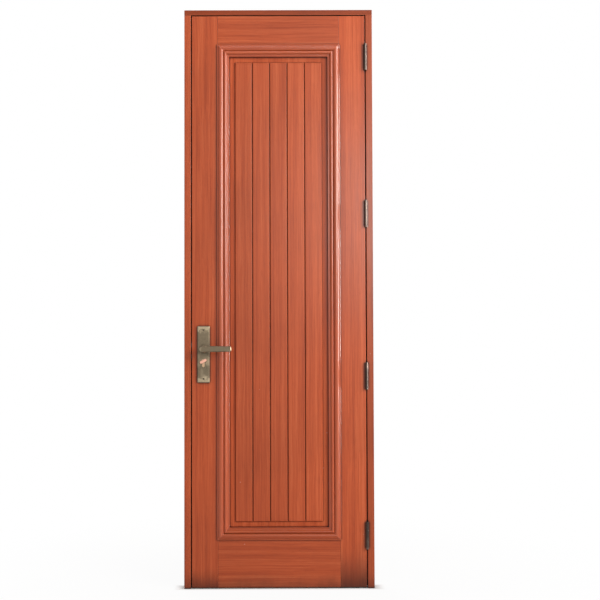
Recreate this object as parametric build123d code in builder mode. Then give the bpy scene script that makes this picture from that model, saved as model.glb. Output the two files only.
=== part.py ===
from build123d import *
import math
import os

# A panelled front door in its frame. Lengths are in millimetres and angles in degrees.
# The origin is on the floor, midway across the frame, on the middle plane of the leaf.
# +Z is up, +X points to the hinge side, and the room side with the thumb turn faces -Y.

# Frame
frame_width = 800.0
frame_height = 2450.0
frame_depth = 100.0
jamb_thickness = 28.0
head_thickness = 22.0
stop_width = 14.0
frame_arris = 1.0
fixing_hole_diameter = 8.0
fixing_foot_height = 300.0
fixing_head_drop = 300.0

# Leaf
leaf_thickness = 45.0
leaf_gap = 4.0
floor_gap = 5.0
stile_width = 110.0
top_rail_width = 125.0
bottom_rail_width = 201.0
stile_arris = 1.2
rail_end_bevel = 0.8
tenon_length = 55.0
tenon_thickness = 15.0
tenon_inner_shoulder = 14.0
tenon_outer_shoulder = 24.0
groove_depth = 12.0
tongue_length = 10.0
tongue_thickness = 12.0

# Panel
core_thickness = 24.0
panel_margin = 24.0
board_count = 5
board_thickness = 6.0
board_bevel = 3.2

# Moulding, from its outer edge inwards
moulding_lap = 3.0
fillet_width = 5.4
fillet_height = 5.5
fillet_bevel = 1.2
torus_radius = 12.3
torus_rise = 1.5
bead_radius = 6.3
bead_rise = 4.5
cove_width = 3.6
cove_hollow_share = 0.4
lip_width = 6.7
lip_rise = 1.0
lip_bevel = 1.2

# Seals
seal_gap = 3.0
seal_kerf_width = 3.0
seal_kerf_depth = 7.0
seal_fin_length = 6.2
seal_bulb_width = 7.0
seal_clearance = 0.3

# Hinges
hinge_foot = 217.5
hinge_drop = 177.5
hinge_middle_pitch = 687.0
barrel_diameter = 12.5
barrel_length = 114.0
knuckle_count = 3
barrel_clearance = 1.75
hinge_plate_thickness = 3.0
hinge_plate_depth = 31.0
hinge_plate_clearance = 0.75
hinge_pin_diameter = 7.0

# Lock
backset = 50.0
lever_height = 1007.0
cylinder_drop = 52.0
case_thickness = 14.0
case_wall = 1.5
case_back = 24.0
case_above = 42.0
case_below = 40.0
faceplate_width = 22.0
faceplate_length = 200.0
faceplate_thickness = 3.0
bolt_thickness = 10.5
latch_throw = 12.0
latch_height = 22.0
latch_lift = 16.0
latch_head_length = 22.0
latch_nose = 3.0
latch_tail_thickness = 3.2
latch_tail_height = 7.0
latch_post_width = 5.0
follower_diameter = 15.8
finger_thickness = 6.2
finger_width = 5.0
finger_reach = 19.0
finger_play = 1.0
spindle_width = 8.0
deadbolt_throw = 20.0
deadbolt_height = 24.0
deadbolt_lift = 16.0
deadbolt_head_length = 28.0
deadbolt_tail_height = 11.5
deadbolt_tail_end = 4.2
thumb_range = 90.0
cam_thickness = 9.0
cam_disc_diameter = 16.4
cam_arm_width = 4.0
cam_nose_diameter = 6.0
cam_play = 0.8

# Keyhole-profile cylinder and thumb turn
cylinder_diameter = 17.0
cylinder_width = 10.0
cylinder_length_down = 24.5
cylinder_proud = 2.0
cylinder_clearance = 0.3
key_slot_width = 2.0
key_slot_height = 8.5
key_slot_depth = 15.0
thumb_shaft_diameter = 11.0
thumb_length = 30.0
thumb_width = 11.0
thumb_height = 10.0
thumb_tilt = 28.0

# Handle plates and levers
plate_width = 52.0
plate_length = 237.0
plate_thickness = 9.0
plate_top_rise = 95.0
plate_bevel = 2.5
boss_diameter = 34.0
boss_height = 7.0
boss_bevel = 3.0
lever_projection = 62.0
lever_length = 120.0
lever_root_diameter = 26.0
lever_tip_height = 23.0
lever_tip_round = 6.0
lever_thickness = 12.0
lever_bevel = 3.0
lever_neck_diameter = 20.0
lever_socket_depth = 30.0
spindle_hole_diameter = 23.0

# Strike plate and its pockets
strike_width = 24.0
strike_length = 150.0
strike_thickness = 3.0
strike_play = 1.5
latch_pocket_depth = 13.0
deadbolt_pocket_depth = 19.0

# Fits
joint_play = 0.1
running_play = 0.08
slide_play = 0.25
end_play = 0.4
overrun = 5.0

# Planes and edges that several pieces share
leaf_half = leaf_thickness / 2
frame_half = frame_width / 2
frame_front = -leaf_half
frame_back = frame_front + frame_depth
jamb_inner = frame_half - jamb_thickness
stop_inner = jamb_inner - stop_width
stop_front = leaf_half + seal_gap
stop_middle = (jamb_inner + stop_inner) / 2
head_underside = frame_height - head_thickness
leaf_edge = jamb_inner - leaf_gap
leaf_bottom = floor_gap
leaf_top = head_underside - leaf_gap
opening_half = leaf_edge - stile_width
opening_bottom = leaf_bottom + bottom_rail_width
opening_top = leaf_top - top_rail_width
core_half = core_thickness / 2
margin_depth = leaf_half - core_half

hinge_axis_x = leaf_edge + leaf_gap / 2
hinge_axis_y = -(leaf_half + barrel_clearance + barrel_diameter / 2)
hinge_plate_front = hinge_axis_y + barrel_diameter / 2 + hinge_plate_clearance
hinge_plate_back = hinge_plate_front + hinge_plate_depth
hinge_low = leaf_bottom + hinge_foot
hinge_high = leaf_top - hinge_drop
hinge_middle = (hinge_low + hinge_high) / 2
hinge_heights = [
    hinge_low,
    hinge_middle - hinge_middle_pitch / 2,
    hinge_middle + hinge_middle_pitch / 2,
    hinge_high,
]
hinge_recess_half = barrel_length / 2 + joint_play
knuckle_pitch = barrel_length / knuckle_count

lock_edge = -leaf_edge
lock_x = lock_edge + backset
cylinder_height = lever_height - cylinder_drop
case_front = lock_edge + faceplate_thickness
case_rear = lock_x + case_back
case_half = case_thickness / 2
case_bottom = cylinder_height - case_below
case_top = lever_height + case_above
case_middle = (case_bottom + case_top) / 2
latch_middle = lever_height + latch_lift
latch_tip = lock_edge - latch_throw
deadbolt_middle = cylinder_height + deadbolt_lift
plate_face = leaf_half + plate_thickness
plate_middle = lever_height + plate_top_rise - plate_length / 2
lever_back = leaf_half + lever_projection - lever_thickness

os.makedirs("parts", exist_ok=True)


def save(piece, name):
    """Labels a finished piece and writes its file."""
    piece.part.label = name
    export_step(piece.part, f"parts/{name}.step")


def box_between(low, high, mode=Mode.ADD):
    """A box between two opposite corners, in the part being made."""
    middle = [(a + b) / 2 for a, b in zip(low, high)]
    size = [b - a for a, b in zip(low, high)]
    with Locations(tuple(middle)):
        Box(*size, mode=mode)


def cut_between(low, high):
    """Removes the box between two opposite corners."""
    box_between(low, high, mode=Mode.SUBTRACT)


def draw_cylinder_window():
    """A plain window that the lock cylinder passes through, out of sight."""
    with Locations((lock_x, cylinder_height + (cylinder_diameter / 2 - cylinder_length_down) / 2)):
        Rectangle(
            cylinder_diameter + 2 * cylinder_clearance,
            cylinder_length_down + cylinder_diameter / 2 + 2 * cylinder_clearance,
        )


def draw_cylinder_profile(clearance):
    """Outline of the lock cylinder: a round barrel with a round-ended web below it."""
    foot_radius = cylinder_width / 2
    web_length = cylinder_length_down - foot_radius
    with Locations((lock_x, cylinder_height)):
        Circle(cylinder_diameter / 2 + clearance)
    with Locations((lock_x, cylinder_height - web_length / 2)):
        Rectangle(cylinder_width + 2 * clearance, web_length)
    with Locations((lock_x, cylinder_height - web_length)):
        Circle(foot_radius + clearance)


# Jambs: plain boards with fixing holes behind the stops and let-in ironmongery
def add_jamb(side):
    """A jamb with its front edges eased, side 1 for the hinge jamb and -1 for the lock jamb."""
    inner, outer = side * jamb_inner, side * frame_half
    box_between(
        (min(inner, outer), frame_front, 0), (max(inner, outer), frame_back, head_underside)
    )
    chamfer(edges().filter_by(Axis.Z).group_by(Axis.Y)[0], frame_arris)
    for height in (fixing_foot_height, frame_height - fixing_head_drop):
        place = (outer, (stop_front + frame_back) / 2, height)
        with Locations(Location(place, (0, 90, 0))):
            Cylinder(fixing_hole_diameter / 2, 2 * (jamb_thickness + overrun), mode=Mode.SUBTRACT)


with BuildPart() as hinge_jamb:
    add_jamb(1)
    for height in hinge_heights:
        cut_between(
            (jamb_inner - overrun, frame_front - overrun, height - hinge_recess_half),
            (jamb_inner + hinge_plate_thickness, hinge_plate_back + joint_play, height + hinge_recess_half),
        )
save(hinge_jamb, "hinge_jamb")

strike_front = -jamb_inner
strike_inner = strike_front - strike_thickness
strike_middle = case_middle
latch_low = latch_middle - latch_height / 2
latch_high = latch_middle + latch_height / 2
deadbolt_low = deadbolt_middle - deadbolt_height / 2
deadbolt_high = deadbolt_middle + deadbolt_height / 2
window_half = bolt_thickness / 2 + strike_play

with BuildPart() as lock_jamb:
    add_jamb(-1)
    with BuildSketch(Plane.YZ.offset(strike_front)):
        with Locations((0, strike_middle)):
            Rectangle(strike_width + 2 * joint_play, strike_length + 2 * joint_play)
    extrude(amount=-strike_thickness, mode=Mode.SUBTRACT)
    cut_between(
        (strike_inner - latch_pocket_depth, -window_half, latch_low - strike_play),
        (strike_inner + overrun, window_half, latch_high + strike_play),
    )
    cut_between(
        (strike_inner - deadbolt_pocket_depth, -window_half, deadbolt_low - strike_play),
        (strike_inner + overrun, window_half, deadbolt_high + strike_play),
    )
save(lock_jamb, "lock_jamb")

with BuildPart() as strike_plate:
    with BuildSketch(Plane.YZ.offset(strike_inner)):
        with Locations((0, strike_middle)):
            Rectangle(strike_width, strike_length)
        for middle, height in ((latch_middle, latch_height), (deadbolt_middle, deadbolt_height)):
            with Locations((0, middle)):
                Rectangle(2 * window_half, height + 2 * strike_play, mode=Mode.SUBTRACT)
    extrude(amount=strike_thickness)
save(strike_plate, "strike_plate")

# Head: a board over both jambs
with BuildPart() as frame_head:
    box_between((-frame_half, frame_front, head_underside), (frame_half, frame_back, frame_height))
    front_lower = frame_head.edges().filter_by(Axis.X).group_by(Axis.Y)[0].sort_by(Axis.Z)[0]
    chamfer(front_lower, frame_arris)
save(frame_head, "frame_head")

# Stops planted on the jambs and the head, each with a kerf for its seal
for side, name in ((1, "hinge_stop"), (-1, "lock_stop")):
    with BuildPart() as side_stop:
        inner, outer = side * stop_inner, side * jamb_inner
        box_between(
            (min(inner, outer), stop_front, 0), (max(inner, outer), frame_back, head_underside)
        )
        inner_face = side_stop.faces().filter_by(Axis.X).sort_by(Axis.X)[0 if side > 0 else -1]
        chamfer(inner_face.edges().filter_by(Axis.Z), frame_arris)
        cut_between(
            (side * stop_middle - seal_kerf_width / 2, stop_front - overrun, -overrun),
            (side * stop_middle + seal_kerf_width / 2, stop_front + seal_kerf_depth, frame_height),
        )
    save(side_stop, name)

head_kerf_middle = head_underside - stop_width / 2

with BuildPart() as head_stop:
    box_between(
        (-stop_inner, stop_front, head_underside - stop_width), (stop_inner, frame_back, head_underside)
    )
    chamfer(head_stop.faces().sort_by(Axis.Z)[0].edges().filter_by(Axis.X), frame_arris)
    cut_between(
        (-stop_inner - overrun, stop_front - overrun, head_kerf_middle - seal_kerf_width / 2),
        (stop_inner + overrun, stop_front + seal_kerf_depth, head_kerf_middle + seal_kerf_width / 2),
    )
save(head_stop, "head_stop")

# Seals: a rounded bulb in front of each stop, held by a fin in the kerf
seal_bulb_height = seal_gap - seal_clearance
seal_fin_width = seal_kerf_width - 2 * joint_play


def draw_seal_bulb(middle):
    """Section of the bulb on the stop's face, with its nose towards the leaf."""
    half = seal_bulb_width / 2
    with BuildLine() as outline:
        Line((middle - half, stop_front), (middle + half, stop_front))
        ThreePointArc(
            (middle + half, stop_front), (middle, stop_front - seal_bulb_height), (middle - half, stop_front)
        )
    make_face(outline.edges())


for side, name in ((1, "hinge_side_seal"), (-1, "lock_side_seal")):
    with BuildPart() as side_seal:
        with BuildSketch():
            draw_seal_bulb(side * stop_middle)
        extrude(amount=head_underside)
        box_between(
            (side * stop_middle - seal_fin_width / 2, stop_front, 0),
            (side * stop_middle + seal_fin_width / 2, stop_front + seal_fin_length, head_underside),
        )
    save(side_seal, name)

with BuildPart() as head_seal:
    seal_reach = stop_middle - seal_bulb_width / 2 - seal_clearance
    with BuildSketch(Plane.ZY):
        draw_seal_bulb(head_kerf_middle)
    extrude(amount=seal_reach, both=True)
    box_between(
        (-stop_inner, stop_front, head_kerf_middle - seal_fin_width / 2),
        (stop_inner, stop_front + seal_fin_length, head_kerf_middle + seal_fin_width / 2),
    )
save(head_seal, "head_seal")

# Hinges: a flush plate with knuckles on each side, the pin riveted into the knuckles of the jamb leaf
def add_hinge_leaf(plate_low_x, height, knuckle_steps):
    """A plate let into the wood and its knuckles round the hinge axis."""
    plate_high_x = plate_low_x + hinge_plate_thickness
    barrel_bottom = height - barrel_length / 2
    box_between(
        (plate_low_x, hinge_plate_front, barrel_bottom),
        (plate_high_x, hinge_plate_back, barrel_bottom + barrel_length),
    )
    for step in knuckle_steps:
        knuckle_bottom = barrel_bottom + step * knuckle_pitch + end_play / 2
        with BuildSketch(Plane.XY.offset(knuckle_bottom)) as knuckle:
            with Locations((hinge_axis_x, hinge_axis_y)):
                Circle(barrel_diameter / 2)
            with Locations(((plate_low_x + plate_high_x) / 2, (hinge_axis_y + hinge_plate_front) / 2)):
                Rectangle(hinge_plate_thickness, hinge_plate_front - hinge_axis_y)
        extrude(knuckle.sketch, amount=knuckle_pitch - end_play)


for number, height in enumerate(hinge_heights, start=1):
    with BuildPart() as hinge_jamb_leaf:
        add_hinge_leaf(jamb_inner, height, range(0, knuckle_count, 2))
        with Locations((hinge_axis_x, hinge_axis_y, height)):
            Cylinder(hinge_pin_diameter / 2, barrel_length - knuckle_pitch)
    save(hinge_jamb_leaf, f"hinge_{number}_jamb_leaf")

    with BuildPart() as hinge_door_leaf:
        add_hinge_leaf(leaf_edge - hinge_plate_thickness, height, range(1, knuckle_count, 2))
        with Locations((hinge_axis_x, hinge_axis_y, height)):
            Cylinder(hinge_pin_diameter / 2 + running_play, barrel_length, mode=Mode.SUBTRACT)
    save(hinge_door_leaf, f"hinge_{number}_door_leaf")

# Stiles, with mortises for the tenons, a groove for the core's tongue and the ironmongery let in
groove_half = tongue_thickness / 2 + joint_play
mortise_half = tenon_thickness / 2 + joint_play
bottom_tenon = (leaf_bottom + tenon_outer_shoulder, opening_bottom - groove_depth - tenon_inner_shoulder)
top_tenon = (opening_top + groove_depth + tenon_inner_shoulder, leaf_top - tenon_outer_shoulder)


def add_stile(side):
    """A stile with its joinery, side 1 for the hinge stile and -1 for the lock stile."""
    outer, inner = side * leaf_edge, side * opening_half
    box_between(
        (min(outer, inner), -leaf_half, leaf_bottom), (max(outer, inner), leaf_half, leaf_top)
    )
    # the arris runs along both outer edges
    outer_face = faces().filter_by(Axis.X).sort_by(Axis.X)[-1 if side > 0 else 0]
    chamfer(outer_face.edges().filter_by(Axis.Z), stile_arris)
    groove_end = inner + side * groove_depth
    cut_between(
        (min(inner - side * overrun, groove_end), -groove_half, opening_bottom - groove_depth),
        (max(inner - side * overrun, groove_end), groove_half, opening_top + groove_depth),
    )
    mortise_end = inner + side * (tenon_length + joint_play)
    for low, high in (bottom_tenon, top_tenon):
        cut_between(
            (min(inner - side * overrun, mortise_end), -mortise_half, low - joint_play),
            (max(inner - side * overrun, mortise_end), mortise_half, high + joint_play),
        )


with BuildPart() as hinge_stile:
    add_stile(1)
    for height in hinge_heights:
        cut_between(
            (leaf_edge - hinge_plate_thickness, -leaf_half - overrun, height - hinge_recess_half),
            (leaf_edge + overrun, hinge_plate_back + joint_play, height + hinge_recess_half),
        )
save(hinge_stile, "hinge_stile")

with BuildPart() as lock_stile:
    add_stile(-1)
    # mortise of the lock case and the recess of its faceplate
    cut_between(
        (lock_edge - overrun, -case_half - slide_play, case_bottom - slide_play),
        (case_rear + slide_play, case_half + slide_play, case_top + slide_play),
    )
    with BuildSketch(Plane.YZ.offset(lock_edge)):
        with Locations((0, case_middle)):
            Rectangle(faceplate_width + 2 * joint_play, faceplate_length + 2 * joint_play)
    extrude(amount=faceplate_thickness, mode=Mode.SUBTRACT)
    with BuildSketch(Plane.XZ):
        with Locations((lock_x, lever_height)):
            Circle(spindle_hole_diameter / 2)
        draw_cylinder_window()
    extrude(amount=leaf_thickness, both=True, mode=Mode.SUBTRACT)
save(lock_stile, "lock_stile")


# Rails, with a tenon at each end and a groove for the core's tongue
def add_rail(low, high, tenon, groove_low, groove_high):
    """A rail between two heights, with its tenons and its groove."""
    box_between((-opening_half, -leaf_half, low), (opening_half, leaf_half, high))
    chamfer(edges().filter_by(Axis.Z), rail_end_bevel)
    box_between(
        (-opening_half - tenon_length, -tenon_thickness / 2, tenon[0]),
        (opening_half + tenon_length, tenon_thickness / 2, tenon[1]),
    )
    cut_between(
        (-opening_half - overrun, -groove_half, groove_low),
        (opening_half + overrun, groove_half, groove_high),
    )


with BuildPart() as top_rail:
    add_rail(opening_top, leaf_top, top_tenon, opening_top - overrun, opening_top + groove_depth)
save(top_rail, "top_rail")

with BuildPart() as bottom_rail:
    add_rail(
        leaf_bottom, opening_bottom, bottom_tenon, opening_bottom - groove_depth, opening_bottom + overrun
    )
save(bottom_rail, "bottom_rail")

# Core of the panel: it stands in the bottom groove and has room to move in the others
with BuildPart() as core_panel:
    box_between(
        (-opening_half + joint_play, -core_half, opening_bottom),
        (opening_half - joint_play, core_half, opening_top - joint_play),
    )
    box_between(
        (-opening_half - tongue_length, -tongue_thickness / 2, opening_bottom - groove_depth),
        (opening_half + tongue_length, tongue_thickness / 2, opening_top + tongue_length),
    )
save(core_panel, "core_panel")

# Moulding: a bolection with a fillet, a torus, a bead, a cove and a rounded lip, mitred at the corners
torus_middle = fillet_width + math.sqrt(torus_radius**2 - (fillet_height - torus_rise) ** 2)
quirk = torus_middle + math.sqrt(torus_radius**2 - (bead_rise - torus_rise) ** 2)
bead_end = quirk + 2 * bead_radius
lip_start = bead_end + cove_width
moulding_width = lip_start + lip_width
sight_half = opening_half + moulding_lap - moulding_width
sight_bottom = opening_bottom - moulding_lap + moulding_width
sight_top = opening_top + moulding_lap - moulding_width


def draw_moulding_section():
    """Section of the moulding: across it from the outer edge, and up from the face of the leaf."""
    cove_middle = (
        (bead_end + lip_start) / 2 - cove_hollow_share * cove_width / 2,
        (bead_rise + lip_rise) / 2 - cove_hollow_share * (bead_rise - lip_rise) / 2,
    )
    with BuildLine() as outline:
        Polyline(
            (0, 0),
            (0, fillet_height - fillet_bevel),
            (fillet_bevel, fillet_height),
            (fillet_width, fillet_height),
        )
        ThreePointArc(
            (fillet_width, fillet_height), (torus_middle, torus_rise + torus_radius), (quirk, bead_rise)
        )
        ThreePointArc(
            (quirk, bead_rise), (quirk + bead_radius, bead_rise + bead_radius), (bead_end, bead_rise)
        )
        ThreePointArc((bead_end, bead_rise), cove_middle, (lip_start, lip_rise))
        Polyline(
            (lip_start, lip_rise),
            (moulding_width - lip_bevel, lip_rise),
            (moulding_width, lip_rise - lip_bevel),
            (moulding_width, -margin_depth),
            (moulding_lap, -margin_depth),
            (moulding_lap, 0),
            (0, 0),
        )
    make_face(outline.edges())


outer_half = opening_half + moulding_lap
outer_bottom = opening_bottom - moulding_lap
outer_top = opening_top + moulding_lap
outer_middle = (outer_bottom + outer_top) / 2
outer_height = outer_top - outer_bottom
moulding_lengths = {
    "left": ((-outer_half, outer_middle), Vector(1, 0, 0), outer_height),
    "right": ((outer_half, outer_middle), Vector(-1, 0, 0), outer_height),
    "bottom": ((0, outer_bottom), Vector(0, 0, 1), 2 * outer_half),
    "top": ((0, outer_top), Vector(0, 0, -1), 2 * outer_half),
}

for name, (edge, inward, length) in moulding_lengths.items():
    outward = Vector(0, -1, 0)
    along = inward.cross(outward)
    start = Vector(edge[0], -leaf_half, edge[1])
    with BuildPart() as front_moulding:
        with BuildSketch(Plane(origin=start, x_dir=inward, z_dir=along)):
            draw_moulding_section()
        extrude(amount=length / 2, both=True)
        for end in (1, -1):
            corner = start + along * (end * length / 2)
            split(bisect_by=Plane(origin=corner, z_dir=inward + along * end), keep=Keep.BOTTOM)
    save(front_moulding, f"front_moulding_{name}")

    with BuildPart() as rear_moulding:
        mirror(front_moulding.part, about=Plane.XZ)
    save(rear_moulding, f"rear_moulding_{name}")

# Boards planted on the core, bevelled all round so that their joints show as V grooves
field_half = sight_half - panel_margin
field_bottom = sight_bottom + panel_margin
field_top = sight_top - panel_margin
board_width = 2 * field_half / board_count

for number in range(1, board_count + 1):
    board_left = -field_half + (number - 1) * board_width
    with BuildPart() as front_board:
        box_between(
            (board_left, -core_half - board_thickness, field_bottom),
            (board_left + board_width, -core_half, field_top),
        )
        chamfer(front_board.faces().sort_by(Axis.Y)[0].edges(), board_bevel)
    save(front_board, f"front_board_{number}")

    with BuildPart() as rear_board:
        mirror(front_board.part, about=Plane.XZ)
    save(rear_board, f"rear_board_{number}")

# Lock case: a flat steel box with slots for the bolts and holes for the spindle and the cylinder
with BuildPart() as lock_case:
    box_between((case_front, -case_half, case_bottom), (case_rear, case_half, case_top))
    cut_between(
        (case_front + case_wall, -case_half + case_wall, case_bottom + case_wall),
        (case_rear - case_wall, case_half - case_wall, case_top - case_wall),
    )
    for low, high in ((latch_low, latch_high), (deadbolt_low, deadbolt_high)):
        cut_between(
            (case_front - overrun, -bolt_thickness / 2 - slide_play, low - slide_play),
            (case_front + case_wall + overrun, bolt_thickness / 2 + slide_play, high + slide_play),
        )
    with BuildSketch(Plane.XZ):
        with Locations((lock_x, lever_height)):
            Circle(follower_diameter / 2 + running_play)
        draw_cylinder_window()
    extrude(amount=case_thickness, both=True, mode=Mode.SUBTRACT)
save(lock_case, "lock_case")

with BuildPart() as lock_faceplate:
    with BuildSketch(Plane.YZ.offset(lock_edge)):
        with Locations((0, case_middle)):
            Rectangle(faceplate_width, faceplate_length)
        for middle, height in ((latch_middle, latch_height), (deadbolt_middle, deadbolt_height)):
            with Locations((0, middle)):
                Rectangle(bolt_thickness + 2 * slide_play, height + 2 * slide_play, mode=Mode.SUBTRACT)
    extrude(amount=faceplate_thickness)
save(lock_faceplate, "lock_faceplate")

# Follower: turned by the spindle, its finger draws the latch bolt back
tail_back = bolt_thickness / 2
tail_front = tail_back - latch_tail_thickness
finger_back = tail_front - end_play
finger_front = finger_back - finger_thickness
tail_low = latch_middle - latch_tail_height / 2
tail_high = latch_middle + latch_tail_height / 2

with BuildPart() as follower:
    with BuildSketch(Plane.XZ):
        with Locations((lock_x, lever_height)):
            Circle(follower_diameter / 2)
    extrude(amount=case_half, both=True)
    box_between(
        (lock_x - finger_width / 2, finger_front, lever_height),
        (lock_x + finger_width / 2, finger_back, lever_height + finger_reach),
    )
    with BuildSketch(Plane.XZ):
        with Locations((lock_x, lever_height)):
            Rectangle(spindle_width + 2 * joint_play, spindle_width + 2 * joint_play)
    extrude(amount=case_thickness, both=True, mode=Mode.SUBTRACT)
save(follower, "follower")

with BuildPart() as latch_bolt:
    latch_root = lock_edge + latch_head_length
    with BuildSketch(Plane.XY.offset(latch_low)):
        with BuildLine():
            Polyline(
                (latch_root, -bolt_thickness / 2),
                (latch_tip, -bolt_thickness / 2),
                (latch_tip, -bolt_thickness / 2 + latch_nose),
                (lock_edge, bolt_thickness / 2),
                (latch_root, bolt_thickness / 2),
                close=True,
            )
        make_face()
    extrude(amount=latch_height)
    post_start = lock_x + finger_width / 2 + finger_play
    post_end = post_start + latch_post_width
    box_between((latch_root, tail_front, tail_low), (post_end, tail_back, tail_high))
    box_between((post_start, finger_front, tail_low), (post_end, tail_front, tail_high))
save(latch_bolt, "latch_bolt")

# Cam and dead bolt: the cam's nose swings through the upper quarter turn in a notch of the bolt's tail
cam_angle = thumb_range / 2
cam_reach = deadbolt_throw / (2 * math.sin(math.radians(cam_angle)))
cam_rest_x = lock_x + cam_reach * math.sin(math.radians(cam_angle))
cam_rest_z = cylinder_height + cam_reach * math.cos(math.radians(cam_angle))
notch_half = cam_nose_diameter / 2 + cam_play

with BuildPart() as deadbolt:
    deadbolt_root = lock_edge + deadbolt_head_length
    box_between(
        (lock_edge, -bolt_thickness / 2, deadbolt_low), (deadbolt_root, bolt_thickness / 2, deadbolt_high)
    )
    deadbolt_tail_low = cam_rest_z + end_play
    deadbolt_tail_reach = cam_rest_x + notch_half + deadbolt_tail_end
    box_between(
        (deadbolt_root, -cam_thickness / 2, deadbolt_tail_low),
        (deadbolt_tail_reach, cam_thickness / 2, deadbolt_tail_low + deadbolt_tail_height),
    )
    cut_between(
        (cam_rest_x - notch_half, -cam_thickness, deadbolt_tail_low - overrun),
        (cam_rest_x + notch_half, cam_thickness, cylinder_height + cam_reach + notch_half),
    )
save(deadbolt, "deadbolt")

with BuildPart() as cylinder_cam:
    with BuildSketch(Plane.XZ):
        with Locations((lock_x, cylinder_height)):
            Circle(cam_disc_diameter / 2)
        with Locations((cam_rest_x, cam_rest_z)):
            Circle(cam_nose_diameter / 2)
        with Locations(((lock_x + cam_rest_x) / 2, (cylinder_height + cam_rest_z) / 2)):
            Rectangle(cam_arm_width, cam_reach, rotation=-cam_angle)
    extrude(amount=cam_thickness / 2, both=True)
save(cylinder_cam, "cylinder_cam")

# Lock cylinder: one profile through the leaf, opened in the middle for the cam, with a key slot at the back
cylinder_end = plate_face + cylinder_proud
cam_room = cam_thickness / 2 + end_play

with BuildPart() as lock_cylinder:
    with BuildSketch(Plane.XZ):
        draw_cylinder_profile(0)
    extrude(amount=cylinder_end, both=True)
    gap_half = cylinder_diameter / 2 + overrun
    cut_between(
        (lock_x - gap_half, -cam_room, cylinder_height - cam_disc_diameter / 2 - end_play),
        (lock_x + gap_half, cam_room, cylinder_height + gap_half),
    )
    with BuildSketch(Plane.XZ):
        with Locations((lock_x, cylinder_height)):
            Circle(thumb_shaft_diameter / 2 + running_play)
    extrude(amount=cylinder_end + overrun, mode=Mode.SUBTRACT)
    cut_between(
        (lock_x - key_slot_width / 2, cylinder_end - key_slot_depth, cylinder_height - key_slot_height / 2),
        (lock_x + key_slot_width / 2, cylinder_end + overrun, cylinder_height + key_slot_height / 2),
    )
save(lock_cylinder, "lock_cylinder")

with BuildPart() as thumb_turn:
    thumb_back = cylinder_end + end_play
    with BuildSketch(Plane.XZ.offset(cam_thickness / 2)):
        with Locations((lock_x, cylinder_height)):
            Circle(thumb_shaft_diameter / 2)
    extrude(amount=thumb_back - cam_thickness / 2)
    with BuildSketch(Plane.XZ.offset(thumb_back)):
        with Locations((lock_x, cylinder_height)):
            SlotOverall(thumb_length, thumb_width, rotation=thumb_tilt)
    extrude(amount=thumb_height)
save(thumb_turn, "thumb_turn")

# Handle plates, bevelled, with a bored boss that the lever turns in and the cylinder's hole
with BuildPart() as front_plate:
    with BuildSketch(Plane.XZ.offset(leaf_half)):
        with Locations((lock_x, plate_middle)):
            Rectangle(plate_width, plate_length)
    extrude(amount=plate_thickness)
    chamfer(front_plate.faces().sort_by(Axis.Y)[0].edges(), plate_bevel)
    with BuildSketch(Plane.XZ.offset(plate_face)):
        with Locations((lock_x, lever_height)):
            Circle(boss_diameter / 2)
    extrude(amount=boss_height)
    chamfer(front_plate.faces().sort_by(Axis.Y)[0].edges(), boss_bevel)
    with BuildSketch(Plane.XZ.offset(leaf_half)):
        with Locations((lock_x, lever_height)):
            Circle(lever_neck_diameter / 2 + running_play)
        draw_cylinder_profile(cylinder_clearance)
    extrude(amount=plate_thickness + boss_height, mode=Mode.SUBTRACT)
save(front_plate, "front_plate")

with BuildPart() as rear_plate:
    mirror(front_plate.part, about=Plane.XZ)
save(rear_plate, "rear_plate")

# Levers: a tapered bar on a neck that turns in the boss of the plate
with BuildPart() as front_lever:
    tip_middle = lever_tip_height / 2 - lever_tip_round
    tip_x = lever_length - lever_tip_round
    with BuildSketch(Plane.XZ.offset(lever_back)):
        with Locations((lock_x, lever_height)):
            Circle(lever_root_diameter / 2)
            with Locations((tip_x, tip_middle), (tip_x, -tip_middle)):
                Circle(lever_tip_round)
        make_hull()
    extrude(amount=lever_thickness)
    chamfer(front_lever.faces().sort_by(Axis.Y)[0].edges(), lever_bevel)
    with BuildSketch(Plane.XZ.offset(leaf_half + end_play)):
        with Locations((lock_x, lever_height)):
            Circle(lever_neck_diameter / 2)
    extrude(amount=lever_back - leaf_half)
    with BuildSketch(Plane.XZ.offset(leaf_half)):
        with Locations((lock_x, lever_height)):
            Rectangle(spindle_width + 2 * joint_play, spindle_width + 2 * joint_play)
    extrude(amount=lever_socket_depth, mode=Mode.SUBTRACT)
save(front_lever, "front_lever")

with BuildPart() as rear_lever:
    mirror(front_lever.part, about=Plane.XZ)
save(rear_lever, "rear_lever")

with BuildPart() as spindle:
    with BuildSketch(Plane.XZ):
        with Locations((lock_x, lever_height)):
            Rectangle(spindle_width, spindle_width)
    extrude(amount=leaf_half + lever_socket_depth - end_play, both=True)
save(spindle, "spindle")
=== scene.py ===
import math
from typing import NamedTuple

import bmesh
import bpy
from mathutils import Matrix, Vector


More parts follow.
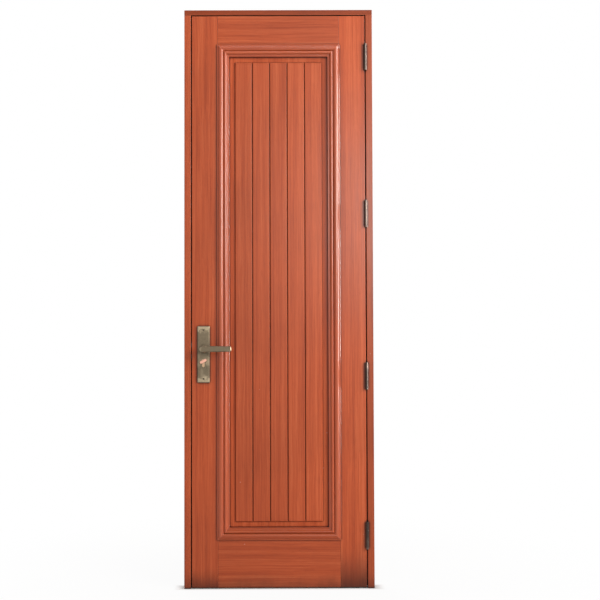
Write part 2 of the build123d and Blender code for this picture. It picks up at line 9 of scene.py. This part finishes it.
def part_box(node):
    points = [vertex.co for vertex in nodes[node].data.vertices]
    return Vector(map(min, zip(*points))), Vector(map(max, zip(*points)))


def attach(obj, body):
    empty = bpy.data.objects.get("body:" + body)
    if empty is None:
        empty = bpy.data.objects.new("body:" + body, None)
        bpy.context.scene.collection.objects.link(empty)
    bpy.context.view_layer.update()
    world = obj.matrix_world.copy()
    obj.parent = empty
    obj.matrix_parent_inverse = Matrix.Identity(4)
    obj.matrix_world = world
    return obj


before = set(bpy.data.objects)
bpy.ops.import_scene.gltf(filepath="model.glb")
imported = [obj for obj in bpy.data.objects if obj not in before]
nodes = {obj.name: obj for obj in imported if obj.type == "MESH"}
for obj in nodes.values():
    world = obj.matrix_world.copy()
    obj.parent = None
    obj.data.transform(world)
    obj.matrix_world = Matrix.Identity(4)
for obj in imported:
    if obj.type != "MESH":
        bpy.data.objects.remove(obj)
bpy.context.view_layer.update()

# The camera, fitted to the outer corners of the frame in the photograph. Angles are in degrees.
IMAGE_PIXELS = 600
FOCAL_PIXELS = 980
CAMERA_PLACE = (0.0788, -4.1692, 1.0970)
CAMERA_YAW = -0.152
CAMERA_PITCH = 1.591
CAMERA_ROLL = -0.178

# Colours are linear
WHITE = (1.0, 1.0, 1.0, 1.0)
WOOD_DARK = (0.320, 0.048, 0.013, 1.0)
WOOD_MIDDLE = (0.455, 0.079, 0.022, 1.0)
WOOD_LIGHT = (0.560, 0.121, 0.041, 1.0)
WOOD_WORN_AND_LIT = (0.660, 0.270, 0.170)
WOOD_FLECK = (0.780, 0.600, 0.500)
BRONZE = (0.150, 0.118, 0.078)
BRONZE_WORN_AND_LIT = (0.560, 0.450, 0.300)
BRASS = (0.520, 0.340, 0.210)
BRASS_WORN = (0.700, 0.500, 0.340)
HINGE = (0.043, 0.026, 0.018)
HINGE_WORN = (0.300, 0.200, 0.155)
COPPER = (0.780, 0.400, 0.290)
COPPER_WORN = (0.900, 0.560, 0.440)
# near-black screw heads: partly dark bronze, partly painted shade of their countersinks
SCREW = (0.035, 0.028, 0.020)
STEEL = (0.420, 0.410, 0.395)
STEEL_WORN = (0.620, 0.610, 0.590)
RUBBER_DARK = (0.012, 0.009, 0.008)
RUBBER_PALE = (0.034, 0.024, 0.020)
FLOOR_PAPER = (0.80, 0.79, 0.78, 1.0)
SKY = (1.0, 0.985, 0.97, 1.0)

ALONG_X, ALONG_Z = 0, 2
MOST_NOISE = (0.3, 0.7)  # most of a noise's values lie in this span
BEVEL_SAMPLES = 6
HOLLOW_SAMPLES = 8
EDGE_TURN = (0.02, 0.25)


class Graph:
    """The nodes of a material or a world, added one by one with their inputs."""

    def __init__(self, owner):
        self.owner = owner
        owner.use_nodes = True
        self.tree = owner.node_tree
        self.tree.nodes.clear()

    def add(self, kind, inputs=(), **settings):
        node = self.tree.nodes.new("ShaderNode" + kind)
        for key, value in settings.items():
            setattr(node, key, value)
        for key, value in dict(inputs).items():
            self.put(node.inputs[key], value)
        return node

    def put(self, socket, value):
        """Links a socket to an output, or sets its own value."""
        if isinstance(value, bpy.types.NodeSocket):
            self.tree.links.new(value, socket)
        else:
            socket.default_value = value

    def place(self):
        return self.add("TexCoord").outputs["Object"]

    def math(self, operation, a, b=0.0):
        return self.add("Math", {0: a, 1: b}, operation=operation).outputs[0]

    def noise(self, vector, scale, detail=2.0, roughness=0.5):
        inputs = {"Vector": vector, "Scale": scale, "Detail": detail, "Roughness": roughness}
        return self.add("TexNoise", inputs).outputs["Fac"]

    def ramp(self, value, stops):
        node = self.add("ValToRGB", {"Fac": value})
        elements = node.color_ramp.elements
        while len(elements) < len(stops):
            elements.new(1.0)
        for element, (place, colour) in zip(elements, stops):
            element.position = place
            element.color = colour
        return node.outputs["Color"]

    def span(self, value, low, high, to_low=0.0, to_high=1.0):
        """Takes the values from low to high smoothly to those from to_low to to_high."""
        inputs = {"Value": value, 1: low, 2: high, 3: to_low, 4: to_high}
        return self.add("MapRange", inputs, interpolation_type="SMOOTHSTEP").outputs[0]

    def total(self, *parts):
        """The sum of outputs, each times its share."""
        value, *others = [self.math("MULTIPLY", part, share) for part, share in parts]
        for other in others:
            value = self.math("ADD", value, other)
        return value

    def tint(self, colour, factor):
        """Multiplies a colour by a grey factor."""
        grey = self.add("CombineColor", {"Red": factor, "Green": factor, "Blue": factor}).outputs[0]
        node = self.add("Mix", data_type="RGBA", blend_type="MULTIPLY")
        self.put(node.inputs["Factor"], 1.0)
        self.put(node.inputs["A"], colour)
        self.put(node.inputs["B"], grey)
        return node.outputs["Result"]

    def blend(self, factor, a, b):
        node = self.add("Mix", {"Factor": factor}, data_type="RGBA")
        for key, value in (("A", a), ("B", b)):
            flat = not isinstance(value, bpy.types.NodeSocket)
            self.put(node.inputs[key], (*value, 1.0) if flat else value)
        return node.outputs["Result"]

    def edges(self, radius):
        """1 on outer and inner edges, from how far rounding turns the normal."""
        round_normal = self.add("Bevel", {"Radius": radius}, samples=BEVEL_SAMPLES).outputs[0]
        flat_normal = self.add("NewGeometry").outputs["Normal"]
        dot = self.add("VectorMath", {0: round_normal, 1: flat_normal}, operation="DOT_PRODUCT")
        return self.span(self.math("SUBTRACT", 1.0, dot.outputs["Value"]), *EDGE_TURN)

    def hollows(self, distance):
        """0 in corners and grooves, 1 in the open."""
        node = self.add("AmbientOcclusion", {"Distance": distance}, samples=HOLLOW_SAMPLES)
        return node.outputs["AO"]

    def bump(self, height, strength, distance):
        inputs = {"Height": height, "Strength": strength, "Distance": distance}
        return self.add("Bump", inputs).outputs[0]

    def backdrop(self):
        """1 where the camera, a reflection or a transmission sees the surface."""
        ray = self.add("LightPath").outputs
        seen = self.math("MAXIMUM", ray["Is Camera Ray"], ray["Is Glossy Ray"])
        return self.math("MAXIMUM", seen, ray["Is Transmission Ray"])

    def finish(self, shader, output="OutputMaterial"):
        self.add(output, {"Surface": shader.outputs[0]})
        return self.owner


# Wood: straight ribbon grain in the solid, pores, a soft varnish, worn arrises that are also a painted
# highlight, and painted shade in the corners and grooves
class Finish(NamedTuple):
    coat: float  # weight of the varnish
    coat_rough: float
    specular: float  # of the wood under the varnish
    rough: float  # how much the grain changes the roughness
    dust: float  # brightness of the painted shade in a corner
    reach: float  # how far the painted shade reaches out of a corner, in metres
    bump: float
    sway: float  # how far the grain strays from a straight line


PLAIN = Finish(0.12, 0.24, 0.20, 0.12, 0.05, 0.013, 0.16, 0.012)
SHADED = PLAIN._replace(coat=0.0, specular=0.18, dust=0.06, reach=0.008)
MOULDED = Finish(0.80, 0.24, 0.06, 0.03, 0.85, 0.013, 0.0, 0.001)
DULLED = MOULDED._replace(coat=0.45, coat_rough=0.32)

# Each noise is its scale, detail and roughness, and each span its ends and what they become
GRAIN_STRETCH = 0.012
SWAY_SCALE, SWAY_DETAIL, SWAY_MIDDLE = 3.0, 1.0, (0.5, 0.5, 0.5)
RIBBON = (42.0, 2.0, 0.55)
STREAK = (170.0, 4.0, 0.62)
FIBRE = (900.0, 3.0, 0.60)
PORE = (1500.0, 1.0, 0.50)
CLOUD = (2.6, 2.0, 0.50)
RIBBON_SHARE, STREAK_SHARE, FIBRE_SHARE = 0.38, 0.44, 0.18
GRAIN_STOPS = ((0.34, WOOD_DARK), (0.50, WOOD_MIDDLE), (0.66, WOOD_LIGHT))
PORE_SPAN = (0.60, 0.70)
PORE_SHADE = 0.22
CLOUD_TONES = (0.93, 1.06)
CORNER_SPAN = (0.48, 0.985)
WOOD_ROUGH = 0.40
FLOOR_SHADE_STRETCH = (1.0, 1.0, 0.3)
FLOOR_SHADE_PATCH = (11.0, 3.0, 0.60)
FLOOR_SHADE_STRAY = 0.10
FLOOR_SHADE_ROUGH = 0.35
ARRIS_WEAR_AND_HIGHLIGHT = 0.0016
ARRIS_SPAN = (0.40, 0.65, 0.25, 0.80)
FLECK_SCALE = 13.0
FLECK_SPAN = (0.017, 0.026, 0.42, 0.0)
FIBRE_DEPTH, PORE_DEPTH, STREAK_DEPTH = 0.5, 0.6, 0.3
WOOD_DEPTH = 0.0004


def wood(name, grain_axis, shift, tone, finish, floor_shade=None):
    """Takes how high the painted shade of the floor reaches on a timber that stands near it, and how dark
    it is there.
    """
    g = Graph(bpy.data.materials.new(name))
    place = g.place()
    stretch = [1.0, 1.0, 1.0]
    stretch[grain_axis] = GRAIN_STRETCH
    sway = g.add("TexNoise", {"Vector": place, "Scale": SWAY_SCALE, "Detail": SWAY_DETAIL}).outputs["Color"]
    sway = g.add("VectorMath", {0: sway, 1: SWAY_MIDDLE}, operation="SUBTRACT").outputs[0]
    sway = g.add("VectorMath", {0: sway, "Scale": finish.sway}, operation="SCALE").outputs[0]
    swayed = g.add("VectorMath", {0: place, 1: sway}, operation="ADD").outputs[0]
    grain = g.add("Mapping", {"Vector": swayed, "Location": shift, "Scale": stretch}).outputs[0]

    ribbon = g.noise(grain, *RIBBON)
    streak = g.noise(grain, *STREAK)
    fibre = g.noise(grain, *FIBRE)
    pore = g.span(g.noise(grain, *PORE), *PORE_SPAN)
    value = g.total((ribbon, RIBBON_SHARE), (streak, STREAK_SHARE), (fibre, FIBRE_SHARE))
    colour = g.ramp(value, GRAIN_STOPS)
    cloud = g.span(g.noise(place, *CLOUD), *MOST_NOISE, *CLOUD_TONES)
    colour = g.tint(colour, g.math("MULTIPLY", cloud, tone))
    colour = g.tint(colour, g.math("SUBTRACT", 1.0, g.math("MULTIPLY", pore, PORE_SHADE)))

    # painted shade in the corners and grooves, and painted shade at the foot of the door, darker towards
    # the floor
    colour = g.tint(colour, g.span(g.hollows(finish.reach), *CORNER_SPAN, finish.dust, 1.0))
    smooth, coarse = WOOD_ROUGH - finish.rough / 2, WOOD_ROUGH + finish.rough / 2
    rough = g.span(streak, *MOST_NOISE, smooth, coarse)
    rough = g.math("ADD", rough, g.math("MULTIPLY", pore, finish.rough))
    # painted shade near the floor: the timber darkens towards its foot, and its varnish is rougher there
    if floor_shade:
        top, darkest = floor_shade
        stray = FLOOR_SHADE_STRAY * top
        height = g.add("SeparateXYZ", {"Vector": place}).outputs["Z"]
        runs = g.add("Mapping", {"Vector": place, "Scale": FLOOR_SHADE_STRETCH}).outputs[0]
        patchy = g.span(g.noise(runs, *FLOOR_SHADE_PATCH), *MOST_NOISE, -stray, stray)
        foot = g.span(g.math("ADD", height, patchy), -stray, top, darkest, 1.0)
        colour = g.tint(colour, foot)
        rough = g.math("ADD", rough, g.span(foot, darkest, 1.0, FLOOR_SHADE_ROUGH, 0.0))
    # worn arrises, paler as a painted highlight as well
    worn_and_lit = g.math("MULTIPLY", g.edges(ARRIS_WEAR_AND_HIGHLIGHT), g.span(streak, *ARRIS_SPAN))
    colour = g.blend(worn_and_lit, colour, WOOD_WORN_AND_LIT)
    fleck = g.add("TexVoronoi", {"Vector": place, "Scale": FLECK_SCALE}).outputs["Distance"]
    colour = g.blend(g.span(fleck, *FLECK_SPAN), colour, WOOD_FLECK)

    depth = g.total((fibre, FIBRE_DEPTH), (pore, -PORE_DEPTH), (streak, STREAK_DEPTH))
    shader = g.add(
        "BsdfPrincipled",
        {
            "Base Color": colour,
            "Roughness": rough,
            "Normal": g.bump(depth, finish.bump, WOOD_DEPTH),
            "Specular IOR Level": finish.specular,
            "Coat Weight": finish.coat,
            "Coat Roughness": finish.coat_rough,
        },
    )
    return g.finish(shader)


# Metals: mottled patina, fine scratches along one direction, bright worn edges that are also a painted
# highlight
SCRATCH_STRETCH = 0.05
SCRATCH = (1400.0, 2.0)
MOTTLE = (95.0, 4.0, 0.62)
BLOTCH = (22.0, 2.0, 0.50)
PATINA_SHADE = 0.55
PATINA_SPAN = (0.35, 0.70)
BLOTCH_SPAN = (0.50, 0.75, 0.0, 0.30)
LIT_END_STRAY = 0.012
LIT_END_FROM, LIT_END_TO, LIT_END_MOST = 0.028, 0.006, 0.42
METAL_WEAR_AND_HIGHLIGHT = 0.0014
METAL_WEAR_AND_HIGHLIGHT_SPAN = (0.35, 0.60, 0.35, 0.95)
METAL_REACH = 0.008
METAL_CORNER_SPAN = (0.3, 0.9, 0.45, 1.0)
SCRATCH_ROUGH, MOTTLE_ROUGH = 0.12, 0.16
METAL_COAT_ROUGH = 0.15
METAL_BUMP, METAL_DEPTH = 0.10, 0.0002


def metal(name, base, worn_and_lit_colour, roughness, scratch_axis=ALONG_Z, patina=0.35, lit_ends=None, coat=0.0):
    """Takes the middle height and half length of a plate whose ends get a painted pale reflection, or None.
    """
    g = Graph(bpy.data.materials.new(name))
    place = g.place()
    stretch = [1.0, 1.0, 1.0]
    stretch[scratch_axis] = SCRATCH_STRETCH
    lines = g.noise(g.add("Mapping", {"Vector": place, "Scale": stretch}).outputs[0], *SCRATCH)
    mottle = g.noise(place, *MOTTLE)
    dark = tuple(PATINA_SHADE * c for c in base)
    colour = g.blend(g.span(mottle, *PATINA_SPAN, 0.0, patina), base, dark)
    colour = g.blend(g.span(g.noise(place, *BLOTCH), *BLOTCH_SPAN), colour, worn_and_lit_colour)
    # painted reflection: the top and bottom ends of the plate are lighter
    if lit_ends:
        middle, half = lit_ends
        height = g.add("SeparateXYZ", {"Vector": place}).outputs["Z"]
        away = g.math("ABSOLUTE", g.math("SUBTRACT", height, middle))
        away = g.math("ADD", away, g.span(mottle, *MOST_NOISE, -LIT_END_STRAY, LIT_END_STRAY))
        bright = g.span(away, half - LIT_END_FROM, half - LIT_END_TO, 0.0, LIT_END_MOST)
        colour = g.blend(bright, colour, worn_and_lit_colour)
    # worn edges, brightened further as a painted highlight
    worn_and_lit = g.math("MULTIPLY", g.edges(METAL_WEAR_AND_HIGHLIGHT), g.span(mottle, *METAL_WEAR_AND_HIGHLIGHT_SPAN))
    colour = g.blend(worn_and_lit, colour, worn_and_lit_colour)
    # painted shade in the corners and hollows of the metal
    colour = g.tint(colour, g.span(g.hollows(METAL_REACH), *METAL_CORNER_SPAN))
    spread = g.total((lines, SCRATCH_ROUGH), (mottle, MOTTLE_ROUGH))
    least = roughness - (SCRATCH_ROUGH + MOTTLE_ROUGH) / 2
    shader = g.add(
        "BsdfPrincipled",
        {
            "Base Color": colour,
            "Metallic": 1.0,
            "Roughness": g.math("ADD", spread, least),
            "Normal": g.bump(g.math("ADD", lines, mottle), METAL_BUMP, METAL_DEPTH),
            "Coat Weight": coat,
            "Coat Roughness": METAL_COAT_ROUGH,
        },
    )
    return g.finish(shader)


RUBBER_GRAIN = (900.0, 2.0)
RUBBER_BLOOM = (18.0, 3.0)
RUBBER_ROUGH = (0.62, 0.80)
RUBBER_SPECULAR = 0.3
RUBBER_BUMP, RUBBER_DEPTH = 0.2, 0.0002


def rubber(name):
    g = Graph(bpy.data.materials.new(name))
    place = g.place()
    grain = g.noise(place, *RUBBER_GRAIN)
    shader = g.add(
        "BsdfPrincipled",
        {
            "Base Color": g.blend(g.noise(place, *RUBBER_BLOOM), RUBBER_DARK, RUBBER_PALE),
            "Roughness": g.span(grain, *MOST_NOISE, *RUBBER_ROUGH),
            "Normal": g.bump(grain, RUBBER_BUMP, RUBBER_DEPTH),
            "Specular IOR Level": RUBBER_SPECULAR,
        },
    )
    return g.finish(shader)


WELD_DISTANCE = 0.00001
SHARP_ANGLE = math.radians(28)


def dress(name, material, bevel=0.0, segments=2):
    """Gives a CAD node its material and rounds its sharp edges a little."""
    piece = nodes[name]
    piece.data.materials.clear()
    piece.data.materials.append(material)
    if bevel:
        weld = piece.modifiers.new("weld", "WELD")
        weld.merge_threshold = WELD_DISTANCE
        edge = piece.modifiers.new("arris", "BEVEL")
        edge.width = bevel
        edge.segments = segments
        edge.limit_method = "ANGLE"
        edge.angle_limit = SHARP_ANGLE
        edge.use_clamp_overlap = True
        normals = piece.modifiers.new("normals", "WEIGHTED_NORMAL")
        normals.keep_sharp = False


# The timbers: which way the grain runs, the tone and the finish
timbers = {
    # the head's darker tone is painted shade
    "frame_head": (ALONG_X, 0.60, SHADED),
    "hinge_jamb": (ALONG_Z, 0.79, PLAIN),
    "lock_jamb": (ALONG_Z, 1.0, PLAIN),
    "head_stop": (ALONG_X, 0.80, PLAIN),
    "hinge_stop": (ALONG_Z, 0.92, PLAIN),
    "lock_stop": (ALONG_Z, 0.92, PLAIN),
    "hinge_stile": (ALONG_Z, 1.09, PLAIN),
    "lock_stile": (ALONG_Z, 1.0, PLAIN),
    "top_rail": (ALONG_X, 0.95, PLAIN),
    "bottom_rail": (ALONG_X, 0.97, PLAIN),
    "core_panel": (ALONG_Z, 1.04, SHADED),
}
BOARD_TONES = (0.92, 0.98, 0.97, 1.05, 1.07)
MOULDINGS = {
    "left": (ALONG_Z, 1.0, MOULDED),
    "right": (ALONG_Z, 1.0, MOULDED),
    # the top moulding, and more so the bottom one, are given darker tones as painted shade
    "top": (ALONG_X, 0.95, MOULDED),
    "bottom": (ALONG_X, 0.84, DULLED),
}
for number, tone in enumerate(BOARD_TONES, start=1):
    for side in ("front", "rear"):
        timbers[f"{side}_board_{number}"] = (ALONG_Z, tone, PLAIN)
for edge, looks in MOULDINGS.items():
    for side in ("front", "rear"):
        timbers[f"{side}_moulding_{edge}"] = looks

# The timbers near the floor: how high the painted shade reaches in metres, and the brightness at the foot
FLOOR_SHADED = {
    "hinge_jamb": (0.09, 0.50),
    "lock_jamb": (0.09, 0.50),
    "hinge_stop": (0.09, 0.40),
    "lock_stop": (0.09, 0.40),
    "hinge_stile": (0.22, 0.14),
    "lock_stile": (0.10, 0.30),
    "bottom_rail": (0.075, 0.48),
}

# How much the edges of each kind of piece are rounded, in metres
WOOD_ARRIS = 0.0006
PLATE_ARRIS = 0.0006
LEVER_ARRIS = 0.0012
THUMB_TURN_ARRIS = 0.0020
HINGE_ARRIS = 0.0005
LOCK_ARRIS = 0.0004
SOFT_SEGMENTS = 3

GRAIN_STEP = (0.371, 0.593, 0.217)  # from one timber to the next, so that no two have the same grain
for number, (name, (axis, tone, finish)) in enumerate(timbers.items()):
    shift = tuple(step * number for step in GRAIN_STEP)
    dress(name, wood(f"wood_{name}", axis, shift, tone, finish, FLOOR_SHADED.get(name)), WOOD_ARRIS)

HINGES = range(1, 5)
low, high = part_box("front_plate")
plate_ends = ((low.z + high.z) / 2, (high.z - low.z) / 2)
bronze = metal("aged_bronze", BRONZE, BRONZE_WORN_AND_LIT, 0.40, lit_ends=plate_ends)
bronze_lever = metal("aged_bronze_lever", BRONZE, BRONZE_WORN_AND_LIT, 0.36, ALONG_X)
copper = metal("rubbed_copper", COPPER, COPPER_WORN, 0.30, ALONG_X, patina=0.2)
brass = metal("aged_brass", BRASS, BRASS_WORN, 0.34)
hinge_metal = metal("browned_brass", HINGE, HINGE_WORN, 0.24, coat=0.5)
steel = metal("plated_steel", STEEL, STEEL_WORN, 0.34, patina=0.2)
screw_metal = metal("screw_bronze", SCREW, BRONZE, 0.42)
seal = rubber("seal_rubber")

for name in ("front_plate", "rear_plate"):
    dress(name, bronze, PLATE_ARRIS)
for name in ("front_lever", "rear_lever"):
    dress(name, bronze_lever, LEVER_ARRIS, SOFT_SEGMENTS)
dress("thumb_turn", copper, THUMB_TURN_ARRIS, SOFT_SEGMENTS)
for number in HINGES:
    dress(f"hinge_{number}_jamb_leaf", hinge_metal, HINGE_ARRIS)
    dress(f"hinge_{number}_door_leaf", hinge_metal, HINGE_ARRIS)
dress("lock_cylinder", brass, LOCK_ARRIS)
for name in ("strike_plate", "lock_faceplate", "latch_bolt", "deadbolt"):
    dress(name, steel, LOCK_ARRIS)
for name in ("lock_case", "follower", "spindle", "cylinder_cam"):
    dress(name, steel)
for name in ("hinge_side_seal", "lock_side_seal", "head_seal"):
    dress(name, seal)


# Screws: a lathed head with a slot, copied to each place
def lathe(profile, segments):
    """A closed solid of revolution about Z from (radius, height) points that start and end on the axis."""
    mesh = bmesh.new()
    turns = [2 * math.pi * k / segments for k in range(segments)]
    rings = []
    for radius, height in profile:
        points = [(radius * math.cos(t), radius * math.sin(t), height) for t in turns]
        rings.append([mesh.verts.new(p) for p in (points if radius else [(0, 0, height)])])
    for low, high in zip(rings, rings[1:]):
        for k in range(segments):
            n = (k + 1) % segments
            corners = [low[k % len(low)], low[n % len(low)], high[n % len(high)], high[k % len(high)]]
            mesh.faces.new(list(dict.fromkeys(corners)))
    bmesh.ops.recalc_face_normals(mesh, faces=mesh.faces)
    return mesh


def box_mesh(size):
    mesh = bmesh.new()
    bmesh.ops.create_cube(mesh, size=1.0, matrix=Matrix.Diagonal((*size, 1.0)))
    return mesh


def as_object(name, mesh):
    data = bpy.data.meshes.new(name)
    mesh.to_mesh(data)
    mesh.free()
    piece = bpy.data.objects.new(name, data)
    bpy.context.scene.collection.objects.link(piece)
    return piece


def cut(body, tool):
    """The body's mesh with the tool taken away. Both objects are removed."""
    change = body.modifiers.new("cut", "BOOLEAN")
    change.operation = "DIFFERENCE"
    change.solver = "EXACT"
    change.object = tool
    bpy.context.view_layer.update()
    data = bpy.data.meshes.new_from_object(body.evaluated_get(bpy.context.evaluated_depsgraph_get()))
    for piece in (body, tool):
        bpy.data.objects.remove(piece)
    return data


SCREW_SEGMENTS = 28
CROWN_STEPS = 5


def screw_mesh(name, radius, crown, skirt, slot_width, slot_depth):
    """A slotted screw head: a flat seat below z = 0, and a crowned top above it."""
    profile = [(0, -skirt), (radius, -skirt), (radius, 0)]
    for step in range(1, CROWN_STEPS):
        angle = math.pi / 2 * step / CROWN_STEPS
        profile.append((radius * math.cos(angle), crown * math.sin(angle)))
    profile.append((0, crown))
    head = as_object(name + "_head", lathe(profile, SCREW_SEGMENTS))
    tool = as_object(name + "_slot", box_mesh((3 * radius, slot_width, 2 * slot_depth)))
    tool.location.z = crown
    return cut(head, tool)


def screws(name, mesh, body, places, outward, turns):
    """Copies of a screw at places on one face, each turned about its axis by its own angle."""
    lift = Vector(outward).to_track_quat("Z", "Y").to_matrix().to_4x4()
    joined = bmesh.new()
    for place, turn in zip(places, turns):
        copy = mesh.copy()
        copy.transform(Matrix.Translation(place) @ lift @ Matrix.Rotation(math.radians(turn), 4, "Z"))
        joined.from_mesh(copy)
        bpy.data.meshes.remove(copy)
    piece = as_object(name, joined)
    piece.data.materials.append(screw_metal)
    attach(piece, body)


def near_ends(x, y, low, high, inset):
    """One place near the foot of a plate and one near its top."""
    return [(x, y, low.z + inset), (x, y, high.z - inset)]


oval_screw = screw_mesh(
    "oval_screw", radius=0.0036, crown=0.0012, skirt=0.0006, slot_width=0.0010, slot_depth=0.0012
)
flat_screw = screw_mesh(
    "flat_screw", radius=0.0042, crown=0.0003, skirt=0.0008, slot_width=0.0011, slot_depth=0.0010
)
TURNS = (20, 75, -35, 50, 5, -60)  # of the slots, in degrees
PLATE_FACE_Y = 0.0315
PLATE_SCREW_INSET = 0.0155
JAMB_LEAF_X, DOOR_LEAF_X = 0.372, 0.368
HINGE_SCREWS = ((-0.011, -0.043), (0.000, -0.016), (0.000, 0.016), (-0.011, 0.043))
STRIKE_SCREW_INSET = 0.010
FACEPLATE_SCREW_INSET = 0.012

for side, outward in (("front", -1), ("rear", 1)):
    low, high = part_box(f"{side}_plate")
    places = near_ends((low.x + high.x) / 2, outward * PLATE_FACE_Y, low, high, PLATE_SCREW_INSET)
    screws(f"{side}_plate_screws", oval_screw, "leaf", places, (0, outward, 0), TURNS)

for number in HINGES:
    low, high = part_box(f"hinge_{number}_jamb_leaf")
    middle = (low.z + high.z) / 2
    places = [(JAMB_LEAF_X, y, middle + z) for y, z in HINGE_SCREWS]
    screws(f"hinge_{number}_jamb_screws", flat_screw, "frame", places, (-1, 0, 0), TURNS)
    places = [(DOOR_LEAF_X, y, middle + z) for y, z in HINGE_SCREWS]
    screws(f"hinge_{number}_door_screws", flat_screw, "leaf", places, (1, 0, 0), TURNS[2:])

low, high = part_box("strike_plate")
places = near_ends(high.x, 0.0, low, high, STRIKE_SCREW_INSET)
screws("strike_screws", flat_screw, "frame", places, (1, 0, 0), TURNS)
low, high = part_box("lock_faceplate")
places = near_ends(low.x, 0.0, low, high, FACEPLATE_SCREW_INSET)
screws("faceplate_screws", flat_screw, "leaf", places, (-1, 0, 0), TURNS[1:])
for mesh in (oval_screw, flat_screw):
    bpy.data.meshes.remove(mesh)

# Stage: a pale floor that the camera sees as white with a trace of the shadow, and whole under the door
FLOOR_HALF = 6.0
UNDER_DOOR_X = (0.39, 0.45)
UNDER_DOOR_Y = (0.012, 0.045)
SHADOW_FADE = (0.25, 1.9, 0.93, 1.0)
floor_mesh = bmesh.new()
bmesh.ops.create_grid(floor_mesh, x_segments=1, y_segments=1, size=FLOOR_HALF)
floor = as_object("floor", floor_mesh)
g = Graph(bpy.data.materials.new("floor_paper"))
paper = g.add("BsdfDiffuse", {"Color": FLOOR_PAPER})
glow = g.add("Emission", {"Color": WHITE, "Strength": 1.0})
place = g.place()
spot = g.add("SeparateXYZ", {"Vector": place}).outputs
aside = g.span(g.math("ABSOLUTE", spot["X"]), *UNDER_DOOR_X)
ahead = g.span(g.math("ABSOLUTE", spot["Y"]), *UNDER_DOOR_Y)
reach = g.add("VectorMath", {0: place}, operation="LENGTH").outputs["Value"]
clear = g.math("MULTIPLY", g.math("MAXIMUM", aside, ahead), g.span(reach, *SHADOW_FADE))
seen = g.math("MULTIPLY", g.backdrop(), clear)
both = g.add("MixShader", {0: seen, 1: paper.outputs[0], 2: glow.outputs[0]})
floor.data.materials.append(g.finish(both))

# The world: soft light all round, and white where it is seen
SKY_STRENGTH = 0.42
g = Graph(bpy.data.worlds.new("studio"))
sky = g.add("Background", {"Color": SKY, "Strength": SKY_STRENGTH})
paper = g.add("Background", {"Color": WHITE, "Strength": 1.0})
both = g.add("MixShader", {0: g.backdrop(), 1: sky.outputs[0], 2: paper.outputs[0]})
bpy.context.scene.world = g.finish(both, "OutputWorld")


def area_light(name, place, target, size, power, colour, diffuse=True, gloss=True):
    """A lamp that lights matt surfaces, shows in glossy ones, or both."""
    lamp = bpy.data.lights.new(name, "AREA")
    lamp.shape = "RECTANGLE"
    lamp.size, lamp.size_y = size
    lamp.energy = power
    lamp.color = colour
    holder = bpy.data.objects.new(name, lamp)
    holder.location = place
    holder.rotation_mode = "QUATERNION"
    holder.rotation_quaternion = (Vector(target) - Vector(place)).to_track_quat("-Z", "Y")
    holder.visible_diffuse = diffuse
    holder.visible_glossy = gloss
    bpy.context.scene.collection.objects.link(holder)


WINDOW_LIGHT = (1.0, 0.97, 0.93)
GLOSS_LIGHT = (1.0, 0.96, 0.92)
TOP_LIGHT = (1.0, 0.98, 0.95)
CROWN_LIGHT = (1.0, 0.97, 0.94)
BACK_LIGHT = (1.0, 0.99, 0.97)
area_light("window", (5.5, -4.2, 3.5), (0.0, 0.0, 1.3), (4.2, 3.0), 405.0, WINDOW_LIGHT)
area_light("sheen", (1.15, -3.9, 2.1), (0.3, 0.0, 1.6), (0.9, 1.2), 100.0, GLOSS_LIGHT, diffuse=False)
area_light("gleam", (6.0, -2.4, 2.4), (0.0, 0.0, 1.4), (1.0, 4.2), 170.0, GLOSS_LIGHT, diffuse=False)
area_light("rim", (6.0, 0.0, 2.0), (0.0, 0.0, 1.3), (0.8, 3.8), 620.0, GLOSS_LIGHT, diffuse=False)
area_light("top", (0.2, -1.5, 3.9), (0.0, 0.0, 1.8), (1.6, 0.6), 14.0, TOP_LIGHT)
area_light("crown", (0.0, 0.35, 4.2), (0.0, 0.0, 2.2), (2.0, 0.6), 60.0, CROWN_LIGHT, diffuse=False)
area_light("back_fill", (-1.6, 3.4, 2.4), (0.0, 0.0, 1.2), (1.6, 2.0), 70.0, BACK_LIGHT, gloss=False)

# Camera
camera_data = bpy.data.cameras.new("camera")
camera_data.sensor_fit = "HORIZONTAL"
camera_data.angle = 2 * math.atan(IMAGE_PIXELS / 2 / FOCAL_PIXELS)
camera = bpy.data.objects.new("camera", camera_data)
yaw, pitch, roll = (math.radians(a) for a in (CAMERA_YAW, CAMERA_PITCH, CAMERA_ROLL))
forward = Vector((-math.sin(yaw) * math.cos(pitch), math.cos(yaw) * math.cos(pitch), math.sin(pitch)))
level = Vector((math.cos(yaw), math.sin(yaw), 0.0))
upright = level.cross(forward)
right = level * math.cos(roll) + upright * math.sin(roll)
up = upright * math.cos(roll) - level * math.sin(roll)
turn = Matrix((right, up, -forward)).transposed()
camera.matrix_world = Matrix.Translation(CAMERA_PLACE) @ turn.to_4x4()
bpy.context.scene.collection.objects.link(camera)
bpy.context.scene.camera = camera
bpy.context.scene.view_settings.view_transform = "Standard"
